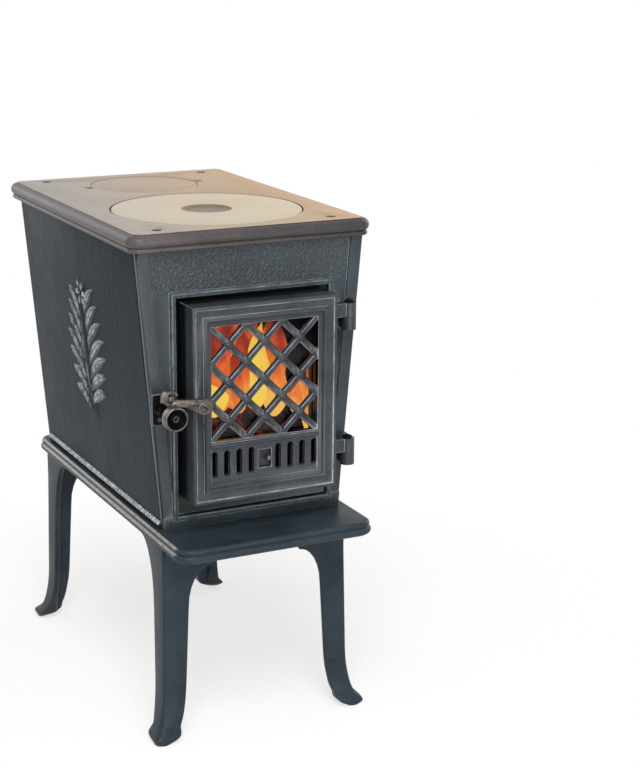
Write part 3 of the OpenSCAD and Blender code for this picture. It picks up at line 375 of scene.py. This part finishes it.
def finish_mesh(name, bm, mats, body, angle=35):
    """Turns a bmesh into a smooth piece that rides on a body, creased at edges over an angle."""
    bmesh.ops.recalc_face_normals(bm, faces=bm.faces)
    mesh = bpy.data.meshes.new(name)
    bm.to_mesh(mesh)
    bm.free()
    for item in mats:
        mesh.materials.append(item)
    mesh.shade_smooth()
    mesh.set_sharp_from_angle(angle=math.radians(angle))
    made = bpy.data.objects.new(name, mesh)
    scene.collection.objects.link(made)
    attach(made, body)
    return made


def casting(node, mats, width, choose=None, rounding_finish=None):
    """The piece that stands for a CAD node: a merged copy with its long sharp edges rounded.

    The width of the rounding is in millimetres. choose gives each face the number of its
    material, and the material of the roundings comes last: worn enamel with a painted highlight
    on the front plate, a painted highlight on the door. Edges on the floor stay sharp, so that
    the feet aren't pushed below it.
    """
    bm = bmesh.new()
    bm.from_mesh(nodes[node].data)
    bmesh.ops.remove_doubles(bm, verts=bm.verts, dist=2e-6)
    bmesh.ops.dissolve_limit(bm, angle_limit=math.radians(0.6), verts=bm.verts, edges=bm.edges)
    for face in bm.faces:
        face.material_index = choose(face) if choose else 0
    if width:
        sharp = [e for e in bm.edges if len(e.link_faces) == 2 and e.calc_length() > 0.002
                 and e.calc_face_angle(0) > math.radians(28)
                 and max(v.co.z for v in e.verts) > 0.001]
        rounded = bmesh.ops.bevel(bm, geom=sharp, offset=width / 1000, offset_type="OFFSET",
                                  affect="EDGES", segments=2, profile=0.5, material=-1,
                                  clamp_overlap=False)
        # The roundings take their own material, a painted highlight on the front plate and the door
        for face in rounded["faces"] if rounding_finish else []:
            face.material_index = len(mats)
    bmesh.ops.triangulate(bm, faces=[f for f in bm.faces if len(f.verts) > 4])
    made = finish_mesh(node + "_look", bm, mats + ([rounding_finish] if rounding_finish else []), body_of[node])
    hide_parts(node)


def top_faces(face):
    """1 for the moulded edge of the top plate, 0 for its flat top."""
    flat = face.normal.z > 0.9 and face.calc_center_median().z > TOP - 0.0007
    return 0 if flat else 1


def door_faces(face):
    """1 for the sides of the lattice bars that face the lower left, where a highlight is painted, 0
    elsewhere.
    """
    middle = face.calc_center_median()
    bar = (abs(middle.x) < WINDOW_HALF and WINDOW_FOOT < middle.z < WINDOW_HEAD
           and middle.y < LATTICE_BACK)
    return 1 if bar and face.normal.x < -0.3 and face.normal.z < -0.3 else 0


def base_faces(face):
    """1 for the crests of the base plate's moulding along its straight sides, where a highlight is
    painted, 0 elsewhere.
    """
    crest = abs(face.normal.x) > 0.3 and face.normal.z > 0.25 and abs(face.normal.y) < 0.05
    return 1 if crest and abs(face.calc_center_median().x) > SIDE_FOOT + 0.005 else 0


def lid_faces(face):
    """1 for the recess of the lid, 0 elsewhere."""
    middle = face.calc_center_median()
    sunk = TOP - 0.004 < middle.z < TOP - 0.0002
    return 1 if sunk and math.hypot(middle.x, middle.y - LID_Y) < RECESS_R else 0


def knob_faces(face):
    """1 for the hollow of the knob, 0 elsewhere."""
    middle = face.calc_center_median()
    off = math.hypot(middle.x - KNOB_X, middle.z - KNOB_Z)
    return 1 if off < HOLLOW_R and middle.y > KNOB_FRONT + HOLLOW_RIM else 0


# Nodes with a finish of their own
# The front plate's and door's roundings and the base's crests take painted highlights
own_looks = {
    "top_plate": dict(mats=[top_enamel, edge_enamel], choose=top_faces, width=0.8),
    "front_plate": dict(mats=[front_enamel], width=0.9, rounding_finish=enamel_worn_and_highlit),
    "side_plate_left": dict(mats=[enamel_side], width=1.0),
    "side_plate_right": dict(mats=[enamel_side], width=1.0),
    "cooking_lid": dict(mats=[lid_enamel, stained], choose=lid_faces, width=0.7),
    "outlet_cover": dict(mats=[top_enamel], width=0.6),
    "door": dict(mats=[door_enamel, door_painted_highlight], choose=door_faces, width=0.6, rounding_finish=door_painted_highlight),
    "base_plate": dict(mats=[enamel, base_crest_highlight], choose=base_faces, width=0.8),
    "latch_keeper": dict(mats=[black_iron], width=0.5),
    "latch_pivot_screw": dict(mats=[latch_iron], width=0.7, rounding_finish=black_iron),
    "latch_knob": dict(mats=[latch_iron, black_iron], choose=knob_faces, width=0.6),
    "hinge_pin_upper": dict(mats=[black_iron], width=0.4),
    "hinge_pin_lower": dict(mats=[black_iron], width=0.4),
}
# The finish of all other nodes, by their material slot
slot_looks = {
    "body_enamel": dict(mats=[enamel], width=0.5),
    "latch_metal": dict(mats=[latch_iron], width=0.5),
    "fixing_steel": dict(mats=[steel], width=0.5),
    "burnt_iron": dict(mats=[sooted], width=0.5),
    "firewood": dict(mats=[bark], width=0),
    "rope_seal": dict(mats=[rope], width=0),
    "fire_glass": dict(mats=[glass], width=0),
    "sheet_steel": dict(mats=[sheet], width=0),
}
for node in sorted(nodes):
    casting(node, **(own_looks[node] if node in own_looks else slot_looks[slots[node]]))


# ---------------------------------------------------------------- relief and rope moulding

def plate_frame(side):
    """Axes on a leaning side plate: to the right, up the slope, and outward."""
    lean = math.atan(SIDE_LEAN)
    outward = Vector((side * math.cos(lean), 0, -math.sin(lean)))
    up = Vector((side * math.sin(lean), 0, math.cos(lean)))
    right = up.cross(outward)
    return Matrix((right, up, outward)).transposed().to_4x4()


def leaf(bm, place, length, width, height, bow=0.0):
    """A pointed leaf in low relief, with a vein down its middle."""
    made = bmesh.ops.create_grid(bm, x_segments=12, y_segments=6, size=1)
    for vert in made["verts"]:
        x, y = vert.co.x, vert.co.y
        half = width / 2 * max(0.08, (1 - x * x) ** 0.8)
        crown = (1 - y * y) * (1 - x ** 4) * (0.55 if abs(y) < 0.1 else 1.0)
        vert.co = Vector((x * length / 2, y * half + bow * (1 - x * x), height * crown))
    faces = list({f for v in made["verts"] for f in v.link_faces})
    thick = bmesh.ops.solidify(bm, geom=faces, thickness=0.0015)
    verts = {v for v in thick["geom"] if isinstance(v, bmesh.types.BMVert)} | set(made["verts"])
    bmesh.ops.transform(bm, matrix=place, verts=list(verts))


def spray(name, side):
    """A cast spray on a side plate: a curved stem, seven pairs of leaves and a six-leaved bud."""
    bm = bmesh.new()
    middle_y, middle_z = 0.020, 0.440
    skin = SIDE_FOOT + (middle_z - BODY_FOOT) * SIDE_LEAN
    base = (Matrix.Translation((side * skin, middle_y, middle_z)) @ plate_frame(side)
            @ Matrix.Translation((0, 0, 0.0003)))
    leaf(bm, base @ Matrix.Rotation(math.radians(96), 4, "Z"), 0.165, 0.007, 0.0030, 0.012)
    for pair in range(7):
        up = -0.066 + pair * 0.0215
        size = 0.082 - 0.0070 * abs(pair - 2.6)
        for hand in (-1, 1):
            turn = math.radians(90 - hand * (66 - 4 * pair))
            spot = Vector((hand * size * 0.46 - 0.006, up + hand * 0.005 + 0.012, 0))
            place = base @ Matrix.Translation(spot) @ Matrix.Rotation(turn, 4, "Z")
            leaf(bm, place, size, 0.017, 0.0036, 0.008 * hand)
    for turn in [math.radians(60 * i) for i in range(6)]:
        spot = Vector((0.011 * math.cos(turn) - 0.004, 0.090 + 0.011 * math.sin(turn), 0))
        leaf(bm, base @ Matrix.Translation(spot) @ Matrix.Rotation(turn, 4, "Z"),
             0.018, 0.010, 0.0036)
    finish_mesh(name, bm, [enamel_rubbed_and_highlit], "stove", 50)


def rope_moulding(name, side):
    """Twisted rope along the foot of a side plate: short slanted strands in a row."""
    bm = bmesh.new()
    count, start, pitch = 56, -0.176, 0.0074
    twist = Matrix.Rotation(math.radians(38), 4, "X")
    strand = Matrix.Diagonal((0.0038, 0.0027, 0.0042, 1))
    for i in range(count):
        spot = (side * (SIDE_FOOT + 0.0014), start + i * pitch, BODY_FOOT + 0.0074)
        bmesh.ops.create_uvsphere(bm, u_segments=8, v_segments=6, radius=1,
                                  matrix=Matrix.Translation(spot) @ twist @ strand)
    finish_mesh(name, bm, [rubbed_iron_and_highlight], "stove", 60)


def knob_boss():
    """The small drilled boss in the hollow of the knob: a turned ring."""
    bm = bmesh.new()
    middle = Vector((KNOB_X, KNOB_FRONT + 0.004, KNOB_Z))
    ring = bmesh.ops.create_circle(bm, segments=12, radius=0.0016,
                                   matrix=Matrix.Translation(middle + Vector((0.0030, 0, 0))))
    bmesh.ops.spin(bm, geom=ring["verts"] + list(bm.edges), cent=middle, axis=(0, 1, 0),
                   angle=math.radians(360), steps=28, use_merge=True)
    bmesh.ops.remove_doubles(bm, verts=bm.verts, dist=1e-6)
    finish_mesh("knob_boss", bm, [latch_iron], body_of["latch_knob"], 60)


knob_boss()
for hand, side in (("left", -1), ("right", 1)):
    spray("leaf_spray_" + hand, side)
for hand, side in (("left", -1), ("right", 1)):
    rope_moulding("rope_moulding_" + hand, side)


# ---------------------------------------------------------------- fire

def tongue(name, foot, height, width, sway, mat, phase):
    """One tongue of flame: a drop that narrows to a wavering tip."""
    bm = bmesh.new()
    made = bmesh.ops.create_uvsphere(bm, u_segments=20, v_segments=24, radius=1)
    for vert in made["verts"]:
        t = (vert.co.z + 1) / 2
        grow = 1.25 * (1 - t) ** 0.75 * (0.6 + 0.9 * t)
        bend = sway * t * t + 0.006 * t * math.sin(7 * t + phase)
        flick = 1 + 0.06 * math.sin(9 * t + phase + 2 * math.atan2(vert.co.y, vert.co.x))
        vert.co = Vector((foot[0] + vert.co.x * width / 2 * grow * flick + bend,
                          foot[1] + vert.co.y * width / 3 * grow * flick + bend * 0.3,
                          foot[2] + t * height))
    finish_mesh(name, bm, [mat], "stove", 180)


def charcoal_heap(name, count, size):
    """A heap of broken charcoal over the logs."""
    bm = bmesh.new()
    spread = random.Random(3)
    spots = [Vector((spread.uniform(-0.085, 0.085), spread.uniform(-0.145, -0.060),
                     spread.uniform(0.347, 0.357))) for _ in range(count)]
    dice = random.Random(7)
    for spot in spots:
        wide = size * dice.uniform(0.7, 1.2)
        turn = Matrix.Rotation(dice.uniform(0, 6.28), 4, Vector((dice.random(), 1, dice.random())))
        made = bmesh.ops.create_icosphere(bm, subdivisions=1, radius=wide,
                                          matrix=Matrix.Translation(spot) @ turn)
        for vert in made["verts"]:
            vert.co += Vector([dice.uniform(-0.25, 0.25) * wide for _ in range(3)])
    finish_mesh(name, bm, [ember], "stove", 20)


# Foot, height, width, sway, and which of the flames it is
tongues = [
    ((0.030, -0.140, 0.398), 0.112, 0.040, 0.002, 0),
    ((-0.024, -0.130, 0.392), 0.118, 0.066, -0.008, 1),
    ((0.006, -0.134, 0.392), 0.116, 0.044, 0.006, 1),
    ((-0.030, -0.138, 0.392), 0.066, 0.044, -0.006, 0),
    ((0.052, -0.140, 0.384), 0.092, 0.046, 0.006, 1),
    ((0.080, -0.146, 0.385), 0.050, 0.028, 0.006, 1),
    ((0.100, -0.150, 0.352), 0.100, 0.036, -0.002, 1),
    ((-0.030, -0.100, 0.385), 0.165, 0.080, -0.010, 2),
    ((0.020, -0.096, 0.385), 0.170, 0.090, 0.004, 2),
    ((0.062, -0.104, 0.385), 0.130, 0.060, 0.002, 2),
]
for i, (foot, height, width, sway, kind) in enumerate(tongues):
    tongue("flame_%d" % (i + 1), foot, height, width, sway, flames[kind], phase=1.7 * i)
charcoal_heap("charcoal_heap", count=60, size=0.009)


# ---------------------------------------------------------------- floor, light and camera

def seen_directly(tree):
    """1 for rays from the camera, and for those that metal and glass pass on."""
    ray = add(tree, "LightPath")
    first = add(tree, "Math", {0: ray.outputs["Is Camera Ray"], 1: ray.outputs["Is Glossy Ray"]},
                operation="MAXIMUM")
    both = add(tree, "Math", {0: first.outputs["Value"], 1: ray.outputs["Is Transmission Ray"]},
               operation="MAXIMUM")
    return both.outputs["Value"]


def white_floor():
    """Matt white floor paint, plain white to the eye but for the shadow round the stove."""
    made, tree, out, place = material("matt_white_floor_paint")
    paint = add(tree, "BsdfDiffuse", {"Color": rgb("#f4f4f4"), "Roughness": 0.9})
    white = add(tree, "Emission", {"Color": rgb("#ffffff"), "Strength": 1.0})
    far = add(tree, "VectorMath", {0: place}, operation="LENGTH")
    fade = add(tree, "MapRange", {"Value": far.outputs["Value"], "From Min": 0.3, "From Max": 0.75,
                                  "To Min": 0.65, "To Max": 1.0})
    soft = add(tree, "MixShader", {0: fade.outputs["Result"], 1: paint.outputs[0],
                                   2: white.outputs[0]})
    done = add(tree, "MixShader", {0: seen_directly(tree), 1: paint.outputs[0], 2: soft.outputs[0]})
    tree.links.new(done.outputs[0], out.inputs["Surface"])
    return made


def lay_floor():
    """A wide floor at the height of the feet."""
    bm = bmesh.new()
    bmesh.ops.create_grid(bm, x_segments=1, y_segments=1, size=30)
    mesh = bpy.data.meshes.new("floor")
    bm.to_mesh(mesh)
    bm.free()
    mesh.materials.append(white_floor())
    floor = bpy.data.objects.new("floor", mesh)
    scene.collection.objects.link(floor)


def light_room():
    """A world that looks white and lights the stove softly."""
    scene.world = bpy.data.worlds.new("studio")
    scene.world.use_nodes = True
    tree = scene.world.node_tree
    tree.nodes.clear()
    white = add(tree, "Background", {"Color": rgb("#ffffff"), "Strength": 1.0})
    room = add(tree, "Background", {"Color": rgb("#f2f4f6"), "Strength": 0.6})
    seen = add(tree, "MixShader", {0: seen_directly(tree), 1: room.outputs[0],
                                   2: white.outputs[0]})
    add(tree, "OutputWorld", {"Surface": seen.outputs[0]})


def area_light(name, where, towards, size, power, code):
    """A rectangular lamp of a size in metres, a power in watts and an sRGB colour."""
    data = bpy.data.lights.new(name, "AREA")
    data.shape = "RECTANGLE"
    data.size, data.size_y = size
    data.energy = power
    data.color = rgb(code)[:3]
    made = bpy.data.objects.new(name, data)
    made.location = where
    made.rotation_euler = (Vector(towards) - Vector(where)).to_track_quat("-Z", "Y").to_euler()
    scene.collection.objects.link(made)


def set_camera(where, lens, azimuth, elevation, roll):
    """The camera of the photograph. Its angles are in degrees, and 0 looks along +Y."""
    data = bpy.data.cameras.new("camera")
    data.sensor_width = 36
    data.lens = lens
    camera = bpy.data.objects.new("camera", data)
    camera.location = where
    azimuth, elevation, roll = [math.radians(angle) for angle in (azimuth, elevation, roll)]
    back = Vector((math.sin(azimuth) * math.cos(elevation),
                   -math.cos(azimuth) * math.cos(elevation), math.sin(elevation)))
    level = Vector((0, 0, 1)).cross(back).normalized()
    up = back.cross(level)
    across = math.cos(roll) * level + math.sin(roll) * up
    upright = -math.sin(roll) * level + math.cos(roll) * up
    camera.rotation_euler = Matrix((across, upright, back)).transposed().to_euler()
    scene.collection.objects.link(camera)
    scene.camera = camera


lay_floor()
light_room()
area_light("key", (-0.7, -1.7, 2.4), (0, 0, 0.4), (1.2, 1.2), 40, "#ffffff")
area_light("warm_side", (2.0, 0.6, 1.3), (0, 0, 0.5), (0.8, 1.4), 15, "#ffc890")
area_light("low_front", (-0.1, -2.4, 0.4), (0, 0, 0.3), (1.4, 0.5), 18, "#ffffff")
area_light("back_strip", (-0.9, 2.4, 1.3), (0, 0, 0.3), (0.4, 2.0), 9, "#ffffff")
set_camera((-0.873, -2.073, 1.011), 82.5, azimuth=-27.11, elevation=15.25, roll=0.51)
scene.view_settings.view_transform = "Standard"
